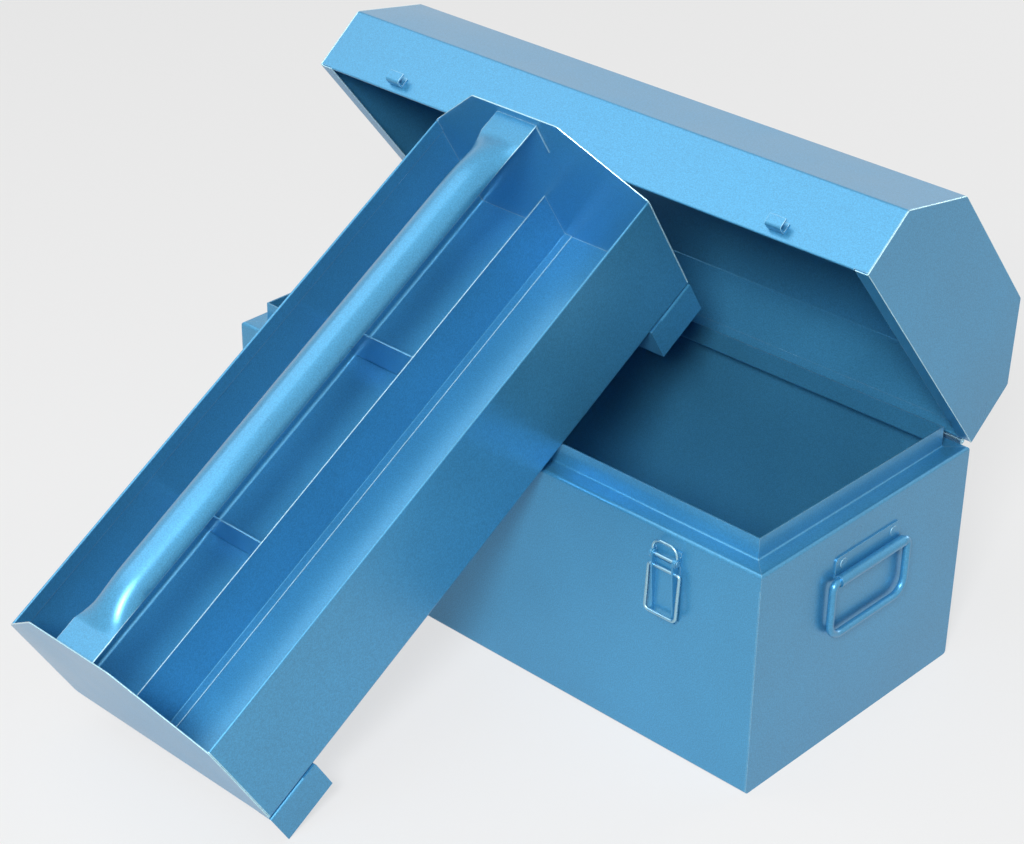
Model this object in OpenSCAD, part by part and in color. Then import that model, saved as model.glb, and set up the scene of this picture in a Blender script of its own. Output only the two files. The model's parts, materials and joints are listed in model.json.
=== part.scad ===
// Hip-roof tool box of folded sheet steel, with a lift-out tote tray.
//
// Frame: millimetres, +Z up, origin at the centre of the body's underside, X along the length,
// -Y towards the front. The lid stands open, propped on the far end of the tote, and the tote
// leans square to the box, with its near foot on the ground and its floor on the front lip.
// Each lid piece is drawn closed and swung up by lid_swing(). Each tote piece is drawn flat on
// its own axes (x across, y along, z up from the tray floor) and set in place by tote_place().

/* [Body] */
// Length of the body, left to right
body_l = 500; // [440:5:560]
// Depth of the body, front to rear
body_d = 232; // [216:2:260]
// Height of the body, up to the ledge
body_h = 174; // [160:2:200]
// Thickness of the sheet steel
sheet = 1; // [0.8:0.1:1.2]
// Inside radius of the body's bends
bend_r = 1.5; // [1:0.25:3]
// Width of the ledge folded in round the top
ledge_w = 14; // [12:1:16]
// Height of the lip that stands up from the ledge
lip_h = 16; // [12:1:18]
// Width of the welding flanges inside the ends
weld_flange = 10; // [6:1:11]
// Height of the mitred rim section, from the ledge down
rim_drop = 12; // [8:1:16]

/* [Tray rests] */
// Height of the shelf that the stowed tray stands on
rest_z = 90; // [70:2:95]
// Depth of each shelf, from the end wall
rest_depth = 66; // [56:2:80]
// Height of the leg welded to the end wall
rest_leg = 20; // [14:1:30]
// Height of the stiffening fold on the shelf's free edge
rest_fold = 10; // [6:1:14]
// Gap between a shelf and the walls beside it
rest_gap = 0.4; // [0.3:0.1:1]

/* [Lid] */
// Height of the lid's upright walls
lid_wall_h = 50; // [40:1:60]
// Run of each sloping panel
lid_slope_run = 50; // [40:1:60]
// Rise of each sloping panel
lid_slope_rise = 44; // [38:1:50]
// Gap between the closed lid and the ledge
lid_gap = 0.5; // [0.4:0.1:1]
// Height of the hem folded inside the lid's long edges
lid_hem_h = 9; // [6:1:12]
// Gap between the lid's edge and the tote end that props it
prop_gap = 0.8; // [0.5:0.1:1.5]

/* [Hinge] */
// Radius of the hinge pin
pin_r = 1.25; // [1:0.05:1.5]
// Thickness of metal round the pin
knuckle_wall = 1.2; // [1:0.1:1.4]
// Radial running clearance on pins
run_clear = 0.05; // [0.03:0.01:0.08]
// Length of one knuckle
knuckle_l = 20; // [16:1:30]
// Gap between neighbouring knuckles
knuckle_gap = 0.4; // [0.3:0.1:0.8]
// Distance from each end of the body to the hinge
hinge_inset = 8; // [6:1:20]
// Width of each hinge leaf
leaf_w = 17; // [12:1:22]
// Thickness of each hinge leaf
leaf_t = 0.9; // [0.8:0.1:1.1]

/* [Tote] */
// Gap between the stowed tray and the lip, at each side
side_clear = 0.5; // [0.4:0.1:1.5]
// Gap between the stowed tray and the lip, at each end
end_clear = 1; // [0.5:0.1:2]
// Height of the tray's long walls
tray_h = 92; // [80:1:96]
// Height of the hem folded inside the long walls
tray_hem_h = 11.5; // [8:0.5:16]
// Inside radius of the tray's bends
tray_bend_r = 3; // [2:0.5:5]
// Run of each sloping shoulder on the tray's ends
gable_run = 61; // [52:1:68]
// Rise of each sloping shoulder on the tray's ends
gable_rise = 51; // [46:1:52]
// Distance from the left wall to the long divider
divider_x = 84; // [66:1:100]
// Height of the long divider and the cross partitions
divider_h = 45; // [36:1:60]
// Width of the foot flange on the divider and the partitions
divider_foot = 8; // [6:1:12]
// Distance from the near end to the first partition
partition_a = 144; // [120:2:160]
// Distance from the near end to the second partition
partition_b = 312; // [290:2:330]
// Length of each foot
foot_l = 46; // [40:1:52]
// Height of each foot
foot_h = 28; // [22:1:30]
// Width of the welding flange under the tray floor
foot_flange = 12; // [8:1:16]
// Thickness of the foot's sheet
foot_t = 1; // [0.8:0.1:1.2]

/* [Tote handle] */
// Radius of the half-round grip
grip_r = 14.5; // [12:0.5:16]
// Height of the grip's crown above its flat end tabs
grip_rise = 10; // [6:0.5:12]
// Distance from the top of the tray's ends down to the tabs
tab_drop = 7; // [5:1:12]
// Width of the flat tabs
tab_w = 37; // [32:1:42]
// Length of each flat tab
tab_l = 18; // [12:1:22]
// Length over which the half-round opens out to the tab
crimp_l = 44; // [30:2:60]
// Height of the flange turned down against the tray's end
tab_flange = 28; // [22:1:32]
// Thickness of the handle's sheet
grip_t = 1.2; // [1:0.1:1.5]

/* [Resting pose of the tote] */
// Angle at which the tote leans
lean = 31.3; // [29:0.1:34]
// Distance from the body's middle to the tote's left wall
tote_left = 134; // [120:1:150]
// Gap between the tray floor and the front lip
lean_gap = 0.3; // [0.2:0.1:0.6]
// Gap between the near foot and the ground
ground_gap = 0.3; // [0.2:0.1:0.6]

/* [Latches] */
// Distance from the body's end to each latch
latch_inset = 76; // [60:1:100]
// Distance from the ledge down to the lever's pin
latch_drop = 18; // [16:0.5:22]
// Width over the latch base's ears
latch_w = 22; // [20:1:26]
// Thickness of the latch's plates
latch_t = 1.2; // [1:0.1:1.4]
// Distance from the body's front to the lever's pin
latch_out = 4.5; // [4.5:0.1:6]
// Length of the lever, from its pin
lever_l = 49; // [44:1:54]
// Distance from the lever's pin to the bail's
bail_drop = 9; // [8:0.5:11]
// Length of the bail, from its pivot bar to its far bar
bail_l = 35; // [32:0.5:38]
// Width of the bail, between the middles of its legs
bail_w = 26.5; // [26:0.5:28]
// Bend radius of the bail's far corners
bail_bend = 3.5; // [3:0.25:6]
// Radius of the latch's wire
wire_r = 1.2; // [1:0.1:1.3]
// Gap between the lever's web and the base
web_gap = 0.4; // [0.3:0.05:0.6]
// Side gap beside the lever
lever_gap = 0.3; // [0.3:0.05:0.5]
// Rise of the staple above the ears
staple_rise = 8; // [6:0.5:10]
// Bend radius of the staple's corners
staple_bend = 7; // [3:0.5:8]
// Radius of the latch's rivets
latch_rivet_r = 1.5; // [1:0.25:1.75]
// Distance from the base's lower edge up to its rivets
latch_rivet_inset = 4; // [3.5:0.25:6]

/* [Strikes] */
// Width of each strike
strike_w = 13; // [10:1:16]
// Height of the strike's tip above the lid's edge
strike_h = 13; // [12.5:0.5:16]
// Thickness of the strike
strike_t = 1.2; // [1:0.1:1.5]

/* [End handles] */
// Distance from the ledge down to the handle's pivot
ring_drop = 39; // [34:1:46]
// Radius of the handle's rod
ring_r = 2.75; // [2.25:0.25:3]
// Width of the ring, between the middles of its legs
ring_w = 84; // [84:2:100]
// Height of the ring
ring_h = 43; // [36:1:50]
// Bend radius of the ring's lower corners
ring_bend = 12; // [8:1:16]
// Bend radius of the ring's upper corners
ring_knee = 5; // [4:0.5:7]
// Length of the sleeve that holds the ring
sleeve_l = 72; // [60:2:74]
// Thickness of the sleeve's wall and plate
sleeve_t = 1.2; // [1:0.1:1.5]
// Height of the plate above the pivot
plate_rise = 16; // [14:1:18]
// Corner radius of the plate
plate_corner = 8; // [4:1:10]
// Radius of the plate's rivets
ring_rivet_r = 2; // [1.5:0.25:2.5]
// Distance from the plate's top down to its rivets
ring_rivet_drop = 6; // [5:0.5:8]

/* [Hidden] */
$fn = 48;

paint = [0.20, 0.47, 0.66];
paint_dark = [0.16, 0.38, 0.54];
bright = [0.62, 0.70, 0.76];

// Facets round each bend of a sheet
bend_steps = 4;
// A little more than a wall, to cut right through it
over = 1;
// Radial clearance of a rivet in its hole
snug = 0.02;
// Height of a rivet's head, and its width over the shank's
rivet_head_h = 0.6;
rivet_head_scale = 1.8;

half_l = body_l / 2;
half_d = body_d / 2;
rim_in = ledge_w + sheet;
rim_z = body_h - rim_drop;
lip_z = body_h + lip_h;
inner_l = half_l - sheet;

lid_z = body_h + lid_gap;
lid_top = lid_z + lid_wall_h + lid_slope_rise;

knuckle_r = pin_r + run_clear + knuckle_wall;
hinge_y = half_d + knuckle_r;
hinge_z = body_h + lid_gap / 2;
hinge_half = half_l - hinge_inset;

tote_l = body_l - 2 * rim_in - 2 * end_clear;
tote_w = body_d - 2 * rim_in - 2 * side_clear;
gable_top = tray_h + gable_rise;
tray_inner_y0 = sheet;
tray_inner_y1 = tote_l - sheet;

// The near foot's corner is just off the ground, and the floor is just off the front lip
tote_z = foot_h * cos(lean) + ground_gap;
tote_y = -half_d + ledge_w - ((lip_z - tote_z) * cos(lean) + lean_gap) / sin(lean);

// The lid's front edge, a hem of radius sheet, rests against the plane of the tote's far end
edge_y = -half_d + sheet - hinge_y;
edge_z = lid_z + sheet - hinge_z;
edge_reach = norm([edge_y, edge_z]);
edge_angle = atan2(edge_z, -edge_y);
end_plane = (tote_y - hinge_y) * cos(lean) + (tote_z - hinge_z) * sin(lean) + tote_l;
lid_angle = acos(-(end_plane + prop_gap + sheet) / edge_reach) - lean - edge_angle;

// Latch, measured from the body's front and from the pin's height
latch_x = half_l - latch_inset;
latch_z = body_h - latch_drop;
pin_y = -half_d - latch_out;
lever_w = latch_w - 2 * latch_t - 2 * lever_gap;
eye_r = latch_out - latch_t - lever_gap;
web_in = latch_t + web_gap;
flange_root = 4.6;
flange_tip = 2.4;
flange_neck = 0.6;
flange_taper = 0.8;
flange_chamfer = 3;
web_top = 4;
bail_z = latch_z - bail_drop;
bail_bar_y = -half_d - web_in - latch_t - flange_tip - wire_r - lever_gap;
bail_tilt = asin((pin_y - bail_bar_y) / bail_l);
base_rise = 7;
base_fall = 20;

// Strike, measured from the closed lid
hook_z = bail_z + bail_l - wire_r - lid_gap / 2;
hook_gap = 0.6;
hook_out = latch_out + wire_r + hook_gap;

// End handle, measured from the body's end
ring_z = body_h - ring_drop;
ring_out = sleeve_t + ring_r + run_clear + sleeve_t / 2;
sleeve_r = ring_r + run_clear + sleeve_t;

// Handle of the tote
tab_z = gable_top - tab_drop;
grip_half_steps = 8;
crimp_steps = 8;

// ---- plane geometry ----

function unit(v) = v / norm(v);
function left_of(v) = [-v[1], v[0]];
function spun(v, a) = [v[0] * cos(a) - v[1] * sin(a), v[0] * sin(a) + v[1] * cos(a)];
function backwards(list) = [for (i = [len(list) - 1:-1:0]) list[i]];

// A path moved to its left by d, with mitred corners
function shifted(path, d) = [
    for (i = [0:len(path) - 1])
        let (
            last = len(path) - 1,
            before = left_of(unit(path[max(i, 1)] - path[max(i, 1) - 1])),
            after = left_of(unit(path[min(i, last - 1) + 1] - path[min(i, last - 1)]))
        )
        path[i] + d * (before + after) / (1 + before * after)
];

// The corner at b as an arc of radius r
function corner_arc(a, b, c, r) =
    let (
        d1 = unit(b - a),
        d2 = unit(c - b),
        side = cross(d1, d2) > 0 ? 1 : -1,
        bend = acos(d1 * d2),
        start = b - d1 * r * tan(bend / 2),
        hub = start + side * r * left_of(d1)
    )
    [for (k = [0:bend_steps]) hub + spun(start - hub, side * bend * k / bend_steps)];

// A path with its left turns rounded to one radius and its right turns to another
function rounded(path, left_r, right_r) = [
    for (i = [0:len(path) - 1])
        each (i == 0 || i == len(path) - 1)
            ? [path[i]]
            : corner_arc(path[i - 1], path[i], path[i + 1],
                cross(path[i] - path[i - 1], path[i + 1] - path[i]) > 0 ? left_r : right_r)
];

// The outline of a bent sheet that lies to the left of a path
function bent_sheet(path, t, r) = concat(
    rounded(path, r + t, r),
    backwards(rounded(shifted(path, t), r, r + t))
);

// ---- shared shapes ----

// A flat shape in Y and Z, drawn out along X
module along_x(x0, x1) {
    translate([x0, 0, 0])
        rotate([90, 0, 90])
            linear_extrude(x1 - x0)
                children();
}

// A flat shape in X and Z, drawn out along Y
module along_y(y0, y1) {
    translate([0, y1, 0])
        rotate([90, 0, 0])
            linear_extrude(y1 - y0)
                children();
}

// A box between two opposite corners
module block(low, high) {
    translate(low)
        cube(high - low);
}

// Round rod or bore along X
module rod_x(r, x0, x1) {
    along_x(x0, x1)
        circle(r);
}

// Wire bent along a path in the XY plane
module bent_wire(path, r, bend) {
    last = len(path) - 1;
    turns = [
        for (i = [0:last])
            (i == 0 || i == last) ? 0 : acos(unit(path[i] - path[i - 1]) * unit(path[i + 1] - path[i]))
    ];
    cuts = [for (i = [0:last]) bend[i] * tan(turns[i] / 2)];
    for (i = [0:last - 1]) {
        way = unit(path[i + 1] - path[i]);
        from = path[i] + way * cuts[i];
        to = path[i + 1] - way * cuts[i + 1];
        translate([from[0], from[1], 0])
            rotate([0, 0, atan2(way[1], way[0])])
                rotate([0, 90, 0])
                    cylinder(h = norm(to - from), r = r);
    }
    for (i = [1:1:last - 1]) {
        way = unit(path[i] - path[i - 1]);
        side = cross(way, path[i + 1] - path[i]) > 0 ? 1 : -1;
        start = path[i] - way * cuts[i];
        hub = start + side * bend[i] * left_of(way);
        first = atan2(start[1] - hub[1], start[0] - hub[0]);
        translate([hub[0], hub[1], 0])
            rotate([0, 0, side > 0 ? first : first - turns[i]])
                rotate_extrude(angle = turns[i])
                    translate([bend[i], 0])
                        circle(r);
    }
}

// A rivet along +Z: shank from z0 to z1, with a low head beyond each end
module rivet(r, z0, z1) {
    translate([0, 0, z0 - rivet_head_h])
        cylinder(h = rivet_head_h, r = r * rivet_head_scale);
    translate([0, 0, z0])
        cylinder(h = z1 - z0, r = r);
    translate([0, 0, z1])
        cylinder(h = rivet_head_h, r = r * rivet_head_scale);
}

// Cone of 45 degrees that opens out from a bore of radius r
module countersink(r, z0, z1) {
    translate([0, 0, z0])
        cylinder(h = z1 - z0, r1 = r, r2 = r + z1 - z0);
}

// The lid's pieces are drawn closed, then swung up round the hinge pin
module lid_swing() {
    translate([0, hinge_y, hinge_z])
        rotate([-lid_angle, 0, 0])
            translate([0, -hinge_y, -hinge_z])
                children();
}

// The tote's pieces are drawn flat, then leant on the front lip
module tote_place() {
    translate([-tote_left, tote_y, tote_z])
        rotate([lean, 0, 0])
            children();
}

// ---- body ----

trough_path = [[-half_d, rim_z], [-half_d, 0], [half_d, 0], [half_d, rim_z]];

// The rim: up the wall, in along the ledge and up the lip
function rim_path(out) = [
    [-out + ledge_w, lip_z], [-out + ledge_w, body_h], [-out, body_h], [-out, rim_z]
];

// The part of the rim that belongs to one long side, mitred at both corners
module mitre_long() {
    linear_extrude(lip_z + over)
        polygon([
            [-half_l, -half_d], [half_l, -half_d],
            [half_l - rim_in, -half_d + rim_in], [-half_l + rim_in, -half_d + rim_in]
        ]);
}

// The part of the rim that belongs to the left end, mitred at both corners
module mitre_end() {
    linear_extrude(lip_z + over)
        polygon([
            [-half_l, half_d], [-half_l, -half_d],
            [-half_l + rim_in, -half_d + rim_in], [-half_l + rim_in, half_d - rim_in]
        ]);
}

module long_rim() {
    intersection() {
        along_x(-half_l, half_l)
            polygon(bent_sheet(rim_path(half_d), sheet, bend_r));
        mitre_long();
    }
}

module body_wrap() {
    color(paint)
        difference() {
            union() {
                along_x(-inner_l, inner_l)
                    polygon(bent_sheet(trough_path, sheet, bend_r));
                long_rim();
                mirror([0, 1, 0])
                    long_rim();
            }
            for (side = [-1, 1])
                latch_rivet_places(side)
                    translate([0, 0, -latch_t - over])
                        cylinder(h = latch_t + sheet + 2 * over, r = latch_rivet_r + snug);
        }
}

module body_end() {
    difference() {
        union() {
            along_x(-half_l, -inner_l)
                polygon(rounded(trough_path, bend_r + sheet, bend_r));
            along_x(-inner_l, -inner_l + weld_flange)
                polygon(bent_sheet(shifted(trough_path, sheet), sheet, bend_r / 2));
            intersection() {
                along_y(-half_d, half_d)
                    polygon(bent_sheet(rim_path(half_l), sheet, bend_r));
                mitre_end();
            }
        }
        ring_rivet_places()
            translate([0, 0, -over])
                cylinder(h = sleeve_t + sheet + 2 * over, r = ring_rivet_r + snug);
    }
}

module body_end_left() {
    color(paint)
        body_end();
}

module body_end_right() {
    color(paint)
        mirror([1, 0, 0])
            body_end();
}

// Shelf that one foot of the stowed tray stands on
module tray_rest() {
    free_x = -inner_l + rest_depth;
    wide = half_d - 2 * sheet - rest_gap;
    along_y(-wide, wide)
        polygon(bent_sheet([
            [free_x, rest_z - rest_fold], [free_x, rest_z],
            [-inner_l, rest_z], [-inner_l, rest_z - rest_leg]
        ], sheet, bend_r));
}

module tray_rest_left() {
    color(paint_dark)
        tray_rest();
}

module tray_rest_right() {
    color(paint_dark)
        mirror([1, 0, 0])
            tray_rest();
}

// ---- hinge ----

knuckle_count = floor((2 * hinge_half + knuckle_gap) / (knuckle_l + knuckle_gap));
knuckle_step = (2 * hinge_half + knuckle_gap) / knuckle_count;

// One leaf with every second knuckle, hanging down from the pin's axis
module hinge_leaf(first) {
    leaf_top = -knuckle_r - knuckle_gap;
    difference() {
        union() {
            block([-hinge_half, -knuckle_r, -leaf_w], [hinge_half, -knuckle_r + leaf_t, leaf_top]);
            for (i = [first:2:knuckle_count - 1]) {
                x0 = -hinge_half + i * knuckle_step;
                x1 = x0 + knuckle_step - knuckle_gap;
                rod_x(knuckle_r, x0, x1);
                block([x0, -knuckle_r, leaf_top - over], [x1, -knuckle_r + leaf_t, 0]);
            }
        }
        rod_x(pin_r + run_clear, -half_l, half_l);
    }
}

module hinge_leaf_body() {
    color(bright)
        translate([0, hinge_y, hinge_z])
            hinge_leaf(0);
}

module hinge_leaf_lid() {
    color(bright)
        lid_swing()
            translate([0, hinge_y, hinge_z])
                mirror([0, 0, 1])
                    hinge_leaf(1);
}

module hinge_pin() {
    color(bright)
        translate([0, hinge_y, hinge_z])
            rod_x(pin_r, -hinge_half, hinge_half);
}

// ---- lid ----

lid_path = [
    [half_d, lid_z], [half_d, lid_z + lid_wall_h], [half_d - lid_slope_run, lid_top],
    [-half_d + lid_slope_run, lid_top], [-half_d, lid_z + lid_wall_h], [-half_d, lid_z]
];
lid_edge_path = concat([[half_d, lid_z + sheet]], [for (i = [1:4]) lid_path[i]], [[-half_d, lid_z + sheet]]);

// The hem on one long edge, folded up inside against the wall
module lid_hem() {
    along_x(-inner_l + weld_flange + rest_gap, inner_l - weld_flange - rest_gap)
        polygon([
            [-half_d + sheet, lid_z + sheet], [-half_d + 2 * sheet, lid_z + sheet],
            [-half_d + 2 * sheet, lid_z + lid_hem_h], [-half_d + sheet, lid_z + lid_hem_h]
        ]);
    translate([0, -half_d + sheet, lid_z + sheet])
        rod_x(sheet, -inner_l + weld_flange + rest_gap, inner_l - weld_flange - rest_gap);
}

module lid_cover() {
    color(paint)
        lid_swing()
            union() {
                along_x(-inner_l, inner_l)
                    polygon(bent_sheet(lid_edge_path, sheet, bend_r));
                lid_hem();
                mirror([0, 1, 0])
                    lid_hem();
            }
}

// One end of the lid: the plate, the flange under the cover and the hem along the rim
module lid_end() {
    inner = shifted(lid_path, sheet);
    rim_y = half_d - 2 * sheet;
    along_x(-half_l, -inner_l)
        polygon(rounded(lid_path, bend_r + sheet, bend_r));
    along_x(-inner_l, -inner_l + weld_flange)
        polygon(bent_sheet(inner, sheet, bend_r / 2));
    block([-inner_l, -rim_y, lid_z], [-inner_l + weld_flange, rim_y, lid_z + sheet]);
}

module lid_end_left() {
    color(paint)
        lid_swing()
            lid_end();
}

module lid_end_right() {
    color(paint)
        lid_swing()
            mirror([1, 0, 0])
                lid_end();
}

// Hook that holds the bail's bar down: out from the lid, then up
module strike(side) {
    foot_z = hook_z - strike_t;
    lid_swing()
        translate([side * latch_x, -half_d, 0])
            along_x(-strike_w / 2, strike_w / 2)
                polygon(bent_sheet([
                    [-hook_out - strike_t, lid_z + strike_h], [-hook_out - strike_t, foot_z],
                    [0, foot_z], [0, lid_z + strike_h]
                ], strike_t, bend_r / 2));
}

module strike_left() {
    color(bright)
        strike(-1);
}

module strike_right() {
    color(bright)
        strike(1);
}

// ---- latches ----

// Outward along each rivet of one latch base, from the body's inner face
module latch_rivet_places(side) {
    for (x = [-1, 1])
        translate([side * latch_x + x * latch_w / 4, -half_d + sheet, latch_z - base_fall + latch_rivet_inset])
            rotate([90, 0, 0])
                children();
}

module latch_ear() {
    along_x(-latch_t, 0) {
        translate([pin_y, latch_z])
            circle(eye_r + lever_gap);
        translate([pin_y, latch_z - eye_r - lever_gap])
            square([-half_d - pin_y, 2 * (eye_r + lever_gap)]);
    }
}

module latch_base(side) {
    translate([side * latch_x, 0, 0])
        difference() {
            union() {
                block(
                    [-latch_w / 2, -half_d - latch_t, latch_z - base_fall],
                    [latch_w / 2, -half_d, latch_z + base_rise]
                );
                translate([latch_w / 2, 0, 0])
                    latch_ear();
                translate([-latch_w / 2 + latch_t, 0, 0])
                    latch_ear();
            }
            translate([0, pin_y, latch_z])
                rod_x(pin_r + snug, -latch_w, latch_w);
            translate([-side * latch_x, 0, 0])
                latch_rivet_places(side) {
                    cylinder(h = sheet + latch_t + over, r = latch_rivet_r + snug);
                    countersink(latch_rivet_r + snug, sheet, sheet + latch_t + over);
                }
        }
}

module latch_base_left() {
    color(paint)
        latch_base(-1);
}

module latch_base_right() {
    color(paint)
        latch_base(1);
}

// Wire staple over the lever, its feet on the ears
module latch_staple(side) {
    reach = latch_w / 2 - latch_t / 2;
    foot_z = eye_r + lever_gap;
    translate([side * latch_x, pin_y, latch_z])
        rotate([90, 0, 0])
            bent_wire(
                [
                    [-reach, foot_z], [-reach, foot_z + staple_rise],
                    [reach, foot_z + staple_rise], [reach, foot_z]
                ],
                wire_r / 2 + latch_t / 4,
                [0, staple_bend, staple_bend, 0]
            );
}

module latch_staple_left() {
    color(bright)
        latch_staple(-1);
}

module latch_staple_right() {
    color(bright)
        latch_staple(1);
}

module latch_pin(side) {
    translate([side * latch_x, pin_y, latch_z])
        rotate([0, 90, 0])
            rivet(pin_r, -latch_w / 2, latch_w / 2);
}

module latch_pin_left() {
    color(bright)
        latch_pin(-1);
}

module latch_pin_right() {
    color(bright)
        latch_pin(1);
}

// Rivets of the latches, flush with the base so that the lever clears them
module latch_rivets() {
    color(bright)
        for (side = [-1, 1])
            latch_rivet_places(side) {
                translate([0, 0, -rivet_head_h])
                    cylinder(h = rivet_head_h, r = latch_rivet_r * rivet_head_scale);
                cylinder(h = sheet, r = latch_rivet_r);
                countersink(latch_rivet_r, sheet, sheet + latch_t);
            }
}

// Channel-shaped lever: the web lies towards the body and the side flanges stand outward
module latch_lever(side) {
    root_y = -half_d - web_in - latch_t;
    translate([side * latch_x, 0, 0])
        difference() {
            union() {
                block(
                    [-lever_w / 2, root_y, latch_z - lever_l],
                    [lever_w / 2, root_y + latch_t, latch_z - web_top]
                );
                for (x = [-lever_w / 2, lever_w / 2 - latch_t])
                    along_x(x, x + latch_t) {
                        translate([pin_y, latch_z])
                            circle(eye_r);
                        polygon([
                            [root_y + latch_t, latch_z - web_top],
                            [pin_y + eye_r * flange_neck, latch_z],
                            [pin_y - eye_r, latch_z],
                            [root_y - flange_root, latch_z - bail_drop],
                            [root_y - flange_tip, latch_z - bail_drop - bail_l * flange_taper],
                            [root_y - flange_tip, latch_z - lever_l + flange_chamfer],
                            [root_y, latch_z - lever_l],
                            [root_y + latch_t, latch_z - lever_l]
                        ]);
                    }
            }
            translate([0, pin_y, latch_z])
                rod_x(pin_r + run_clear, -latch_w, latch_w);
            translate([0, pin_y, bail_z])
                rod_x(wire_r + run_clear, -latch_w, latch_w);
        }
}

module latch_lever_left() {
    color(paint)
        latch_lever(-1);
}

module latch_lever_right() {
    color(paint)
        latch_lever(1);
}

// Wire loop on the lever. It hangs in front of the lever, on the edges of its flanges
module latch_bail(side) {
    reach = bail_w / 2;
    bail_knee = 1.5 * wire_r;
    translate([side * latch_x, pin_y, bail_z])
        rotate([-bail_tilt, 0, 0])
            rotate([90, 0, 0])
                bent_wire(
                    [
                        [0, 0], [reach, 0], [reach, -bail_l],
                        [-reach, -bail_l], [-reach, 0], [0, 0]
                    ],
                    wire_r,
                    [0, bail_knee, bail_bend, bail_bend, bail_knee, 0]
                );
}

module latch_bail_left() {
    color(bright)
        latch_bail(-1);
}

module latch_bail_right() {
    color(bright)
        latch_bail(1);
}

// ---- end handles ----

// Outward along each rivet of the left end's plate, from the wall's inner face
module ring_rivet_places() {
    for (y = [-1, 1])
        translate([-inner_l, y * (sleeve_l / 2 - plate_corner), ring_z + plate_rise - ring_rivet_drop])
            rotate([0, -90, 0])
                children();
}

// Plate on the body's end, rolled round the ring's rod at its lower edge
module end_plate() {
    wide = sleeve_l / 2;
    difference() {
        union() {
            along_x(-half_l - sleeve_t, -half_l)
                polygon(rounded([
                    [0, ring_z - ring_r], [wide, ring_z - ring_r], [wide, ring_z + plate_rise],
                    [-wide, ring_z + plate_rise], [-wide, ring_z - ring_r], [0, ring_z - ring_r]
                ], plate_corner / 2, plate_corner));
            translate([-half_l - ring_out, wide, ring_z])
                rotate([90, 0, 0])
                    cylinder(h = sleeve_l, r = sleeve_r);
        }
        translate([-half_l - ring_out, wide + over, ring_z])
            rotate([90, 0, 0])
                cylinder(h = sleeve_l + 2 * over, r = ring_r + run_clear);
        ring_rivet_places()
            cylinder(h = sheet + sleeve_t + over, r = ring_rivet_r + snug);
    }
}

module end_plate_left() {
    color(paint)
        end_plate();
}

module end_plate_right() {
    color(paint)
        mirror([1, 0, 0])
            end_plate();
}

module end_plate_rivets() {
    color(paint)
        for (side = [0, 1])
            mirror([side, 0, 0])
                ring_rivet_places()
                    rivet(ring_rivet_r, 0, sheet + sleeve_t);
}

// Closed ring of rod, hanging from its straight top run
module end_ring() {
    translate([-half_l - ring_out, 0, ring_z])
        rotate([90, 0, -90])
            bent_wire(
                [
                    [0, 0], [ring_w / 2, 0], [ring_w / 2, -ring_h],
                    [-ring_w / 2, -ring_h], [-ring_w / 2, 0], [0, 0]
                ],
                ring_r,
                [0, ring_knee, ring_bend, ring_bend, ring_knee, 0]
            );
}

module end_ring_left() {
    color(paint)
        end_ring();
}

module end_ring_right() {
    color(paint)
        mirror([1, 0, 0])
            end_ring();
}

// ---- tote ----

tray_path = [[0, tray_h - sheet], [0, 0], [tote_w, 0], [tote_w, tray_h - sheet]];
tray_inside = rounded(shifted(tray_path, sheet), tray_bend_r, tray_bend_r);

// Rolled hem at the top of one long wall
module tray_hem() {
    translate([0, tray_h - tray_hem_h])
        square([2 * sheet, tray_hem_h - sheet]);
    translate([sheet, tray_h - sheet])
        circle(sheet);
}

module tote_trough() {
    color(paint)
        tote_place()
            along_y(tray_inner_y0, tray_inner_y1) {
                polygon(bent_sheet(tray_path, sheet, tray_bend_r));
                tray_hem();
                translate([tote_w, 0])
                    mirror([1, 0])
                        tray_hem();
            }
}

gable_outline = [
    [tote_w / 2, 0], [tote_w, 0], [tote_w, tray_h], [tote_w - gable_run, gable_top],
    [gable_run, gable_top], [0, tray_h], [0, 0], [tote_w / 2, 0]
];

module tote_end(y0) {
    along_y(y0, y0 + sheet)
        polygon(rounded(gable_outline, tray_bend_r + sheet, tray_bend_r));
}

module tote_end_near() {
    color(paint)
        tote_place()
            tote_end(0);
}

module tote_end_far() {
    color(paint)
        tote_place()
            tote_end(tray_inner_y1);
}

module tote_divider() {
    color(paint)
        tote_place()
            along_y(tray_inner_y0, tray_inner_y1)
                polygon(bent_sheet([
                    [divider_x, divider_h], [divider_x, sheet], [divider_x + divider_foot, sheet]
                ], sheet, bend_r / 2));
}

// Cross partition in the left compartment, trimmed to the tray's inside bend
module tote_partition(y) {
    intersection() {
        along_x(sheet, divider_x)
            polygon(bent_sheet([
                [y, divider_h], [y, sheet], [y + divider_foot, sheet]
            ], sheet, bend_r / 2));
        along_y(y - over, y + divider_foot + over)
            polygon(tray_inside);
    }
}

module tote_partition_near() {
    color(paint)
        tote_place()
            tote_partition(partition_a);
}

module tote_partition_far() {
    color(paint)
        tote_place()
            tote_partition(partition_b);
}

// One section of the handle, from flat (0) to half-round (1): an arc through its edges and crown
function grip_arc(roundness, t) =
    let (
        half_w = tab_w / 2 + (grip_r - tab_w / 2) * roundness,
        half_angle = 2 * atan(grip_r * roundness / half_w),
        r = roundness == 0 ? 0 : half_w / sin(half_angle)
    )
    [
        for (k = [-grip_half_steps:grip_half_steps])
            let (share = k / grip_half_steps, a = half_angle * share)
            roundness == 0
                ? [share * half_w, -t]
                : [(r - t) * sin(a), (r - t) * cos(a) - r + grip_rise * roundness]
    ];

function grip_ring(y, roundness) = [
    for (p = concat(grip_arc(roundness, 0), backwards(grip_arc(roundness, grip_t))))
        [p[0], y, p[1]]
];

// Roundness along the crimp: it leaves the tab at a crease and runs smoothly into the grip
function opened(share) = 1 - (1 - share) * (1 - share);

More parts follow.
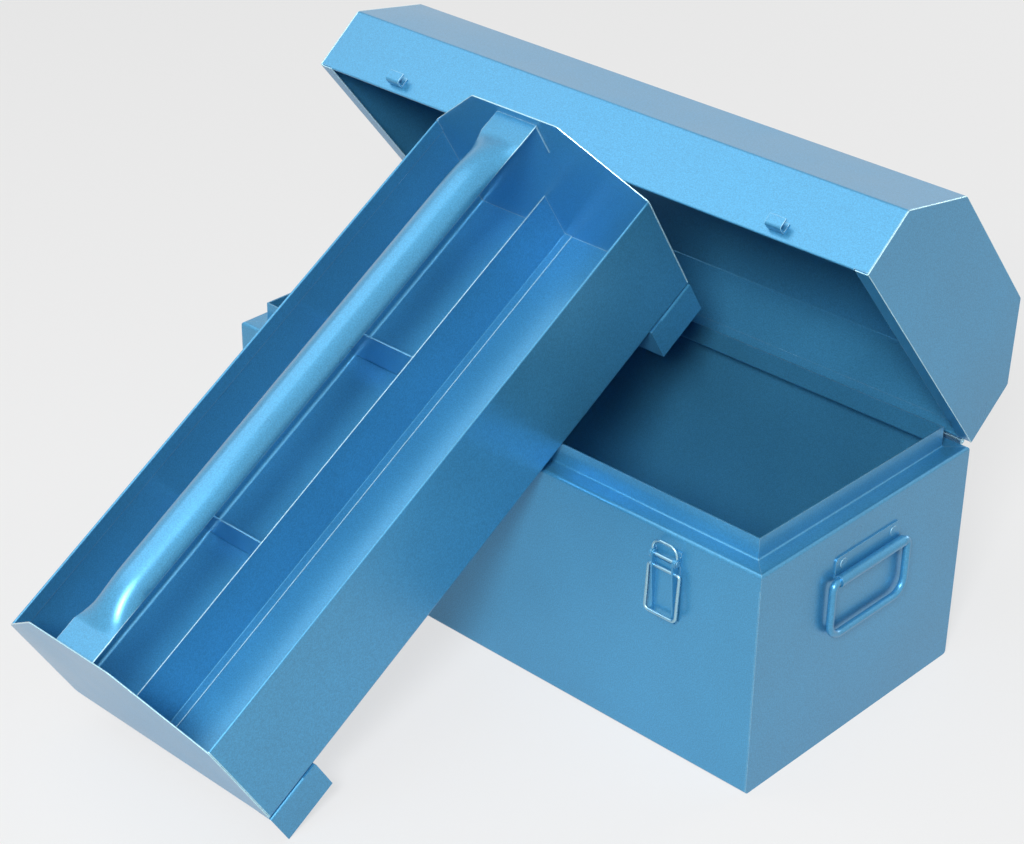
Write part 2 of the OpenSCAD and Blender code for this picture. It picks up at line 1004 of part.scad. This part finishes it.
// The flange's lower edge and its bend into the tab, at the end y, facing the way of side
function flange_rings(y, side) = [
    for (z = [-tab_flange, 0])
        [
            for (inner = [0, 1], k = [-grip_half_steps:grip_half_steps])
                [
                    (inner == 0 ? k : -k) * tab_w / 2 / grip_half_steps,
                    y + side * inner * grip_t,
                    z == 0 ? -inner * grip_t : z
                ]
        ]
];

grip_rings = concat(
    flange_rings(tray_inner_y0, 1),
    [
        for (i = [0:crimp_steps])
            grip_ring(tray_inner_y0 + tab_l + crimp_l * i / crimp_steps, opened(i / crimp_steps))
    ],
    [
        for (i = [crimp_steps:-1:0])
            grip_ring(tray_inner_y1 - tab_l - crimp_l * i / crimp_steps, opened(i / crimp_steps))
    ],
    backwards(flange_rings(tray_inner_y1, -1))
);

// Skin over a row of equal closed rings, each an outer arc and its inner arc backwards
module ring_loft(rings) {
    n = len(rings[0]);
    last = len(rings) - 1;
    polyhedron(
        points = [for (ring = rings) each ring],
        faces = concat(
            [for (k = [0:n / 2 - 2]) [k, k + 1, n - 2 - k, n - 1 - k]],
            [for (k = [0:n / 2 - 2]) [for (j = [n - 1 - k, n - 2 - k, k + 1, k]) last * n + j]],
            [
                for (i = [0:last - 1])
                    for (k = [0:n - 1])
                        each [
                            [i * n + k, (i + 1) * n + k, (i + 1) * n + (k + 1) % n],
                            [i * n + k, (i + 1) * n + (k + 1) % n, i * n + (k + 1) % n]
                        ]
            ]
        ),
        convexity = 6
    );
}

module tote_handle() {
    color(paint)
        tote_place()
            translate([tote_w / 2, 0, tab_z])
                ring_loft(grip_rings);
}

// Foot at the near end: a cross flange, and a cheek in line with the right wall
module tote_foot() {
    along_x(0, tote_w)
        polygon(bent_sheet([
            [foot_l, -foot_h], [foot_l, 0], [foot_l - foot_flange, 0]
        ], foot_t, bend_r / 2));
    along_y(0, foot_l - foot_t / 2)
        polygon(bent_sheet([
            [tote_w, -foot_h], [tote_w, 0], [tote_w - foot_flange, 0]
        ], foot_t, bend_r / 2));
}

module tote_foot_near() {
    color(paint)
        tote_place()
            tote_foot();
}

module tote_foot_far() {
    color(paint)
        tote_place()
            translate([0, tote_l, 0])
                mirror([0, 1, 0])
                    tote_foot();
}

body_wrap();
body_end_left();
body_end_right();
tray_rest_left();
tray_rest_right();
hinge_leaf_body();
hinge_pin();
hinge_leaf_lid();
lid_cover();
lid_end_left();
lid_end_right();
strike_left();
strike_right();
latch_base_left();
latch_base_right();
latch_staple_left();
latch_staple_right();
latch_pin_left();
latch_pin_right();
latch_rivets();
latch_lever_left();
latch_lever_right();
latch_bail_left();
latch_bail_right();
end_plate_left();
end_plate_right();
end_plate_rivets();
end_ring_left();
end_ring_right();
tote_trough();
tote_end_near();
tote_end_far();
tote_divider();
tote_partition_near();
tote_partition_far();
tote_handle();
tote_foot_near();
tote_foot_far();
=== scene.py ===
import json
import math

import bmesh
import bpy
from bpy.props import FloatProperty, FloatVectorProperty, PointerProperty
from mathutils import Matrix, Vector


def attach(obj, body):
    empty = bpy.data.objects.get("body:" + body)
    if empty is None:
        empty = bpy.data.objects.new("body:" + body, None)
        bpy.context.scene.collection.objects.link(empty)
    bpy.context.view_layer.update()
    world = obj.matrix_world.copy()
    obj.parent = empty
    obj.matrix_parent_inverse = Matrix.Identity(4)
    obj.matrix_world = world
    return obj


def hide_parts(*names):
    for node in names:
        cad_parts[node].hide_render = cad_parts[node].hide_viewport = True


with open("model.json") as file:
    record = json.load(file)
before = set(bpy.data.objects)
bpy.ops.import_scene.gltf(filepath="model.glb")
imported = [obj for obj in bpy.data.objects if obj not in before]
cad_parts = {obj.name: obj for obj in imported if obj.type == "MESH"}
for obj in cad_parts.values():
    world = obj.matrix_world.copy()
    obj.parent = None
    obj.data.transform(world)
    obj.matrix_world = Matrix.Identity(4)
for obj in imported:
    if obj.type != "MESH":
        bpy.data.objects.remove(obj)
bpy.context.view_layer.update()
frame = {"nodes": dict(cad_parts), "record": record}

bl_info = {
    "name": "Hip-Roof Tool Box",
    "version": (1, 0, 0),
    "blender": (4, 5, 0),
    "location": "View3D > Sidebar > Tool Box",
    "description": "Dresses a folded sheet-steel tool box and its lift-out tote in enamel",
    "category": "Add Mesh",
}

# Lengths are in metres, as in the frame.
MM = 0.001
NODE_BODY = {
    node: body
    for body, nodes in frame["record"]["behaviour"]["bodies"].items()
    for node in nodes
}

# Edges that turn by more than TURN_SHARP are rounded, in the finish of slot EDGE_SLOT. On enamel
# pieces that finish is pale: a painted highlight along the edges.
TURN_SHARP = math.radians(35)
FLAT_LIMIT = math.radians(0.3)
SAME_POINT = 0.002 * MM
ROUND_STEPS = 2
EDGE_SLOT = 1

# A noise has its scale in waves per metre and lies mostly within NOISE_MIDDLE. The other pairs
# are the ranges that a noise is spread over.
NOISE_MIDDLE = (0.3, 0.7)
FLAKE_DETAIL = 1.0
FLAKE_TINT = (0.86, 1.14)
DRIFT_NOISE = {"scale": 9.0, "detail": 3.0}
DRIFT_TINT = (0.94, 1.06)
DRIFT_ROUGHNESS_CHANGE = (-0.05, 0.06)
PEEL_NOISE = {"scale": 260.0, "detail": 1.0}
PEEL_STRENGTH = 0.5
COAT_WEIGHT = 0.3
COAT_ROUGHNESS = 0.25
EDGE_ROUGHNESS_SHARE = 0.7
GRAIN_NOISE = {"scale": 400.0, "detail": 3.0, "stretch": (0.15, 1, 1)}
GRAIN_ROUGHNESS = (0.22, 0.4)
GRAIN_STRENGTH = 0.3
STEEL_METALLIC = 0.9
PAPER_ROUGHNESS = 0.9
PAPER_SPECULAR = 0.1

IMAGE_WIDTH = 1024
FOCAL_PIXELS = 2461
SENSOR_WIDTH = 36.0
FLOOR_REACH = 40.0
BOX_MIDDLE = (0, -0.05, 0.2)
SOFT_BOXES = {
    "key": {"size": (0.6, 0.6), "place": (1.29, -1.97, 1.78), "target": BOX_MIDDLE},
    "top": {"size": (3.0, 1.3), "place": (-0.9, -0.9, 2.2), "target": (-0.9, -0.05, 0.2)},
    "rear": {"size": (1.6, 1.2), "place": (0.3, 2.6, 0.9), "target": BOX_MIDDLE},
}


# ---- settings ----

def colour(name, text, value):
    return FloatVectorProperty(
        name=name, description=text, subtype="COLOR", size=3, min=0, max=1, default=value
    )


def share(name, text, value):
    return FloatProperty(name=name, description=text, subtype="FACTOR", min=0, max=1, default=value)


def length(name, text, value):
    return FloatProperty(
        name=name, description=text, subtype="DISTANCE", unit="LENGTH", min=0, default=value
    )


def angle(name, text, degrees):
    return FloatProperty(
        name=name, description=text, subtype="ANGLE", default=math.radians(degrees)
    )


def power(name, text, watts):
    return FloatProperty(name=name, description=text, unit="POWER", min=0, default=watts)


class ToolBoxFinish(bpy.types.PropertyGroup):
    enamel: colour("Enamel", "Blue flake enamel", (0.060, 0.30, 0.53))
    # Painted highlight: the pale edge colour stands in for the light that the rounded edges catch.
    # The enamel there is no lighter.
    edge: colour("Edges", "Thin enamel on cut and folded edges", (0.52, 0.82, 0.92))
    steel: colour("Bright steel", "Plated wire, pins and hinge", (0.34, 0.58, 0.70))
    roughness: share("Roughness", "Roughness of the enamel", 0.32)
    metallic: share("Metallic", "Share of metal flake in the enamel", 0.44)
    flake: length("Flake", "Size of the flakes in the enamel", 0.9 * MM)
    peel: length("Orange peel", "Height of the waves in the enamel", 0.05 * MM)


class ToolBoxShape(bpy.types.PropertyGroup):
    sheet_edge: length("Sheet edges", "Rounding of the sheet's cut edges", 0.45 * MM)
    small_edge: length("Small edges", "Rounding on hinge, latches and handles", 0.2 * MM)


class ToolBoxStage(bpy.types.PropertyGroup):
    azimuth: angle("Azimuth", "Camera's turn to the right of the front", 43.02)
    elevation: angle("Elevation", "Camera's angle above the floor", 29.58)
    roll: angle("Roll", "Camera's tilt", 0.90)
    distance: length("Distance", "From the camera to the point it looks at", 1778.9 * MM)
    focal: FloatProperty(
        name="Focal length", description="In picture widths", default=FOCAL_PIXELS / IMAGE_WIDTH
    )
    target: FloatVectorProperty(
        name="Target", description="Point that the camera looks at", subtype="TRANSLATION",
        unit="LENGTH", default=(-28.3 * MM, -52.4 * MM, 150 * MM)
    )
    floor: colour("Floor", "Pale floor", (0.62, 0.62, 0.62))
    white: share("White floor", "Share of plain white that views and reflections see", 0.68)
    key: power("Key light", "Power of the front soft box", 72)
    top: power("Top light", "Power of the overhead soft box", 18)
    rear: power("Rear light", "Power of the rear soft box", 24)
    fill: share("World light", "Level of the even light", 0.1)


# ---- materials ----

def new_material(name):
    made = bpy.data.materials.new(name)
    made.use_nodes = True
    nodes, links = made.node_tree.nodes, made.node_tree.links
    nodes.clear()
    output = nodes.new("ShaderNodeOutputMaterial")
    shader = nodes.new("ShaderNodeBsdfPrincipled")
    links.new(shader.outputs[0], output.inputs[0])
    return made, nodes, links, shader


def object_noise(nodes, links, scale, detail, stretch=(1, 1, 1)):
    place = nodes.new("ShaderNodeTexCoord")
    mapping = nodes.new("ShaderNodeMapping")
    mapping.inputs["Scale"].default_value = stretch
    noise = nodes.new("ShaderNodeTexNoise")
    noise.inputs["Scale"].default_value = scale
    noise.inputs["Detail"].default_value = detail
    links.new(place.outputs["Object"], mapping.inputs["Vector"])
    links.new(mapping.outputs[0], noise.inputs["Vector"])
    return noise.outputs[0]


def ramp(nodes, links, source, low, high, within=NOISE_MIDDLE):
    """Spreads a value from within one range over the range from low to high."""
    node = nodes.new("ShaderNodeMapRange")
    node.inputs["From Min"].default_value, node.inputs["From Max"].default_value = within
    node.inputs["To Min"].default_value = low
    node.inputs["To Max"].default_value = high
    links.new(source, node.inputs["Value"])
    return node.outputs[0]


def add_bump(nodes, links, shader, source, strength, height):
    bump = nodes.new("ShaderNodeBump")
    bump.inputs["Strength"].default_value = strength
    bump.inputs["Distance"].default_value = height
    links.new(source, bump.inputs["Height"])
    links.new(bump.outputs[0], shader.inputs["Normal"])


def enamel_material(name, base, roughness, look):
    """Blue enamel with fine flake, slow colour drift and a slight orange peel."""
    made, nodes, links, shader = new_material(name)
    flakes = object_noise(nodes, links, 1 / look.flake, FLAKE_DETAIL)
    drift = object_noise(nodes, links, **DRIFT_NOISE)
    value = nodes.new("ShaderNodeMath")
    value.operation = "MULTIPLY"
    links.new(ramp(nodes, links, flakes, *FLAKE_TINT), value.inputs[0])
    links.new(ramp(nodes, links, drift, *DRIFT_TINT), value.inputs[1])
    tint = nodes.new("ShaderNodeMix")
    tint.data_type = "RGBA"
    tint.blend_type = "MULTIPLY"
    tint.inputs["Factor"].default_value = 1.0
    tint.inputs["A"].default_value = (*base, 1)
    links.new(value.outputs[0], tint.inputs["B"])
    links.new(tint.outputs["Result"], shader.inputs["Base Color"])
    smooth, rough = (roughness + change for change in DRIFT_ROUGHNESS_CHANGE)
    links.new(ramp(nodes, links, drift, smooth, rough), shader.inputs["Roughness"])
    waves = object_noise(nodes, links, **PEEL_NOISE)
    add_bump(nodes, links, shader, waves, PEEL_STRENGTH, look.peel)
    shader.inputs["Metallic"].default_value = look.metallic
    shader.inputs["Coat Weight"].default_value = COAT_WEIGHT
    shader.inputs["Coat Roughness"].default_value = COAT_ROUGHNESS
    return made


def steel_material(name, base, look):
    """Bright plated steel, drawn lengthwise."""
    made, nodes, links, shader = new_material(name)
    grain = object_noise(nodes, links, **GRAIN_NOISE)
    links.new(ramp(nodes, links, grain, *GRAIN_ROUGHNESS), shader.inputs["Roughness"])
    add_bump(nodes, links, shader, grain, GRAIN_STRENGTH, look.peel)
    shader.inputs["Base Color"].default_value = (*base, 1)
    shader.inputs["Metallic"].default_value = STEEL_METALLIC
    return made


def finish_material(key):
    """The finish called key, made once."""
    found = bpy.data.materials.get(key)
    if found:
        return found
    look = bpy.context.scene.tool_box_finish
    if key == "enamel":
        return enamel_material(key, look.enamel, look.roughness, look)
    # The edge finish is the enamel in the pale edge colour, a painted highlight, and a little
    # glossier.
    if key == "enamel_edge":
        return enamel_material(key, look.edge, look.roughness * EDGE_ROUGHNESS_SHARE, look)
    return steel_material(key, look.steel, look)


# ---- pieces ----

def add_object(name, data):
    made = bpy.data.objects.new(name, data)
    bpy.context.collection.objects.link(made)
    return made


def mesh_object(name, mesh):
    """Ends a bmesh as an object."""
    data = bpy.data.meshes.new(name)
    mesh.to_mesh(data)
    mesh.free()
    return add_object(name, data)


def merged_copy(node):
    """A clean bmesh of one CAD node, with flat areas as single faces."""
    mesh = bmesh.new()
    mesh.from_mesh(frame["nodes"][node].data)
    bmesh.ops.remove_doubles(mesh, verts=mesh.verts, dist=SAME_POINT)
    bmesh.ops.dissolve_limit(
        mesh, angle_limit=FLAT_LIMIT, verts=mesh.verts, edges=mesh.edges, delimit={"NORMAL"}
    )
    return mesh


def round_edges(mesh, width):
    sharp = [e for e in mesh.edges if e.is_manifold and e.calc_face_angle() > TURN_SHARP]
    bmesh.ops.bevel(
        mesh, geom=sharp, offset=width, offset_type="OFFSET", affect="EDGES",
        segments=ROUND_STEPS, profile=0.5, clamp_overlap=True, material=EDGE_SLOT
    )


def shade(mesh):
    for face in mesh.faces:
        face.smooth = True
    for edge in mesh.edges:
        edge.smooth = not edge.is_manifold or edge.calc_face_angle() < TURN_SHARP


def rounded_piece(node, width, finishes):
    """One CAD node with its sharp edges rounded, in a finish for faces and one for edges."""
    mesh = merged_copy(node)
    round_edges(mesh, width)
    shade(mesh)
    made = mesh_object(f"{node}_finished", mesh)
    for finish in finishes:
        made.data.materials.append(finish_material(finish))
    even = made.modifiers.new("even_normals", "WEIGHTED_NORMAL")
    even.keep_sharp = True
    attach(made, NODE_BODY[node])
    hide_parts(node)


def sheet_pieces(nodes):
    shape = bpy.context.scene.tool_box_shape
    for node in nodes:
        # The second finish paints a highlight along the rounded edges.
        rounded_piece(node, shape.sheet_edge, ("enamel", "enamel_edge"))


def small_pieces(nodes, finish, edge):
    shape = bpy.context.scene.tool_box_shape
    for node in nodes:
        rounded_piece(node, shape.small_edge, (finish, edge))


def both_sides(*names):
    return [f"{name}_{side}" for name in names for side in ("left", "right")]


def both_ends(*names):
    return [f"{name}_{end}" for name in names for end in ("near", "far")]


class TOOLBOX_OT_body(bpy.types.Operator):
    """Body: the folded wrap, the ends and the shelves for the tray"""
    bl_idname = "toolbox.body"
    bl_label = "Body"

    def execute(self, context):
        sheet_pieces(["body_wrap"] + both_sides("body_end", "tray_rest"))
        return {"FINISHED"}


class TOOLBOX_OT_lid(bpy.types.Operator):
    """Lid: the folded cover, its ends and the strikes"""
    bl_idname = "toolbox.lid"
    bl_label = "Lid"

    def execute(self, context):
        sheet_pieces(["lid_cover"] + both_sides("lid_end"))
        # The second finish paints a highlight along the rounded edges.
        small_pieces(both_sides("strike"), "enamel", "enamel_edge")
        return {"FINISHED"}


class TOOLBOX_OT_hinge(bpy.types.Operator):
    """Hinge: both leaves and the pin"""
    bl_idname = "toolbox.hinge"
    bl_label = "Hinge"

    def execute(self, context):
        small_pieces(
            ["hinge_leaf_body", "hinge_leaf_lid", "hinge_pin"], "steel", "steel"
        )
        return {"FINISHED"}


class TOOLBOX_OT_latches(bpy.types.Operator):
    """Latches: bases, levers, bails, staples, pins and rivets"""
    bl_idname = "toolbox.latches"
    bl_label = "Latches"

    def execute(self, context):
        # The second finish paints a highlight along the rounded edges.
        small_pieces(
            both_sides("latch_base", "latch_lever"), "enamel", "enamel_edge"
        )
        small_pieces(
            both_sides("latch_staple", "latch_pin", "latch_bail") + ["latch_rivets"],
            "steel", "steel"
        )
        return {"FINISHED"}


class TOOLBOX_OT_end_handles(bpy.types.Operator):
    """End handles: plates, drop rings and rivets"""
    bl_idname = "toolbox.end_handles"
    bl_label = "End handles"

    def execute(self, context):
        # The second finish paints a highlight along the rounded edges.
        small_pieces(
            both_sides("end_plate", "end_ring") + ["end_plate_rivets"],
            "enamel", "enamel_edge"
        )
        return {"FINISHED"}


class TOOLBOX_OT_tote(bpy.types.Operator):
    """Tote tray: trough, ends, divider, partitions and feet"""
    bl_idname = "toolbox.tote"
    bl_label = "Tote tray"

    def execute(self, context):
        sheet_pieces(
            ["tote_trough", "tote_divider"] + both_ends("tote_end", "tote_partition", "tote_foot")
        )
        return {"FINISHED"}


class TOOLBOX_OT_grip(bpy.types.Operator):
    """Grip: the half-round handle, crimped flat at both ends"""
    bl_idname = "toolbox.grip"
    bl_label = "Grip"

    def execute(self, context):
        sheet_pieces(["tote_handle"])
        return {"FINISHED"}


# ---- stage ----

def camera_axes(stage):
    """Right, up and back of the camera from its turn, height and roll."""
    turn, rise, roll = stage.azimuth, stage.elevation, stage.roll
    back = Vector((
        math.sin(turn) * math.cos(rise), -math.cos(turn) * math.cos(rise), math.sin(rise)
    ))
    right = Vector((math.cos(turn), math.sin(turn), 0))
    up = back.cross(right)
    return (
        math.cos(roll) * right + math.sin(roll) * up,
        math.cos(roll) * up - math.sin(roll) * right,
        back,
    )


def add_camera(stage):
    data = bpy.data.cameras.new("camera")
    data.sensor_fit = "HORIZONTAL"
    data.sensor_width = SENSOR_WIDTH
    data.lens = stage.focal * SENSOR_WIDTH
    data.clip_end = FLOOR_REACH
    camera = add_object("camera", data)
    right, up, back = camera_axes(stage)
    matrix = Matrix((right, up, back)).transposed().to_4x4()
    matrix.translation = Vector(stage.target) + back * stage.distance
    camera.matrix_world = matrix
    bpy.context.scene.camera = camera


def add_soft_box(name, watts, size, place, target):
    data = bpy.data.lights.new(name, "AREA")
    data.energy = watts
    data.shape = "RECTANGLE"
    data.size, data.size_y = size
    light = add_object(name, data)
    light.location = place
    way = Vector(target) - Vector(place)
    light.rotation_euler = way.to_track_quat("-Z", "Y").to_euler()


def background_rays(nodes, links):
    """1 for rays from the camera, off gloss and through glass, which see the white, else 0."""
    path = nodes.new("ShaderNodeLightPath")
    total = path.outputs["Is Camera Ray"]
    for name in ("Is Glossy Ray", "Is Transmission Ray"):
        add = nodes.new("ShaderNodeMath")
        add.operation = "ADD"
        add.use_clamp = True
        links.new(total, add.inputs[0])
        links.new(path.outputs[name], add.inputs[1])
        total = add.outputs[0]
    return total


def add_world(stage):
    world = bpy.data.worlds.new("studio")
    world.use_nodes = True
    nodes, links = world.node_tree.nodes, world.node_tree.links
    background = nodes["Background"]
    background.inputs["Color"].default_value = (1, 1, 1, 1)
    seen = background_rays(nodes, links)
    level = ramp(nodes, links, seen, stage.fill, 1.0, within=(0, 1))
    links.new(level, background.inputs["Strength"])
    bpy.context.scene.world = world


def add_floor(stage):
    mesh = bmesh.new()
    bmesh.ops.create_grid(mesh, x_segments=1, y_segments=1, size=FLOOR_REACH)
    floor = mesh_object("floor", mesh)
    paper, nodes, links, shader = new_material("paper")
    shader.inputs["Base Color"].default_value = (*stage.floor, 1)
    shader.inputs["Roughness"].default_value = PAPER_ROUGHNESS
    shader.inputs["Specular IOR Level"].default_value = PAPER_SPECULAR
    glow = nodes.new("ShaderNodeEmission")
    mix = nodes.new("ShaderNodeMixShader")
    seen = background_rays(nodes, links)
    links.new(ramp(nodes, links, seen, 0.0, stage.white, within=(0, 1)), mix.inputs[0])
    links.new(shader.outputs[0], mix.inputs[1])
    links.new(glow.outputs[0], mix.inputs[2])
    links.new(mix.outputs[0], nodes["Material Output"].inputs[0])
    floor.data.materials.append(paper)


class TOOLBOX_OT_stage(bpy.types.Operator):
    """Stage: camera, pale floor and soft light"""
    bl_idname = "toolbox.stage"
    bl_label = "Stage"

    def execute(self, context):
        stage = context.scene.tool_box_stage
        add_camera(stage)
        add_world(stage)
        add_floor(stage)
        for name, box in SOFT_BOXES.items():
            add_soft_box(name, getattr(stage, name), **box)
        context.scene.view_settings.view_transform = "Standard"
        return {"FINISHED"}


class TOOLBOX_PT_panel(bpy.types.Panel):
    """The tool box's sizes, colours and pieces"""
    bl_label = "Tool Box"
    bl_idname = "TOOLBOX_PT_panel"
    bl_space_type = "VIEW_3D"
    bl_region_type = "UI"
    bl_category = "Tool Box"

    def draw(self, context):
        for group in SETTINGS:
            settings = getattr(context.scene, group)
            box = self.layout.box()
            for name in settings.__annotations__:
                box.prop(settings, name)
        for operator in OPERATORS:
            self.layout.operator(operator.bl_idname)


SETTINGS = {
    "tool_box_finish": ToolBoxFinish,
    "tool_box_shape": ToolBoxShape,
    "tool_box_stage": ToolBoxStage,
}
OPERATORS = (
    TOOLBOX_OT_stage, TOOLBOX_OT_body, TOOLBOX_OT_lid, TOOLBOX_OT_hinge, TOOLBOX_OT_latches,
    TOOLBOX_OT_end_handles, TOOLBOX_OT_tote, TOOLBOX_OT_grip,
)
CLASSES = (*SETTINGS.values(), *OPERATORS, TOOLBOX_PT_panel)


def register():
    for item in CLASSES:
        bpy.utils.register_class(item)
    for name, group in SETTINGS.items():
        setattr(bpy.types.Scene, name, PointerProperty(type=group))


def unregister():
    for name in SETTINGS:
        delattr(bpy.types.Scene, name)
    for item in reversed(CLASSES):
        bpy.utils.unregister_class(item)


def main():
    register()
    for operator in OPERATORS:
        group, name = operator.bl_idname.split(".")
        getattr(getattr(bpy.ops, group), name)()


if __name__ == "__main__":
    main()
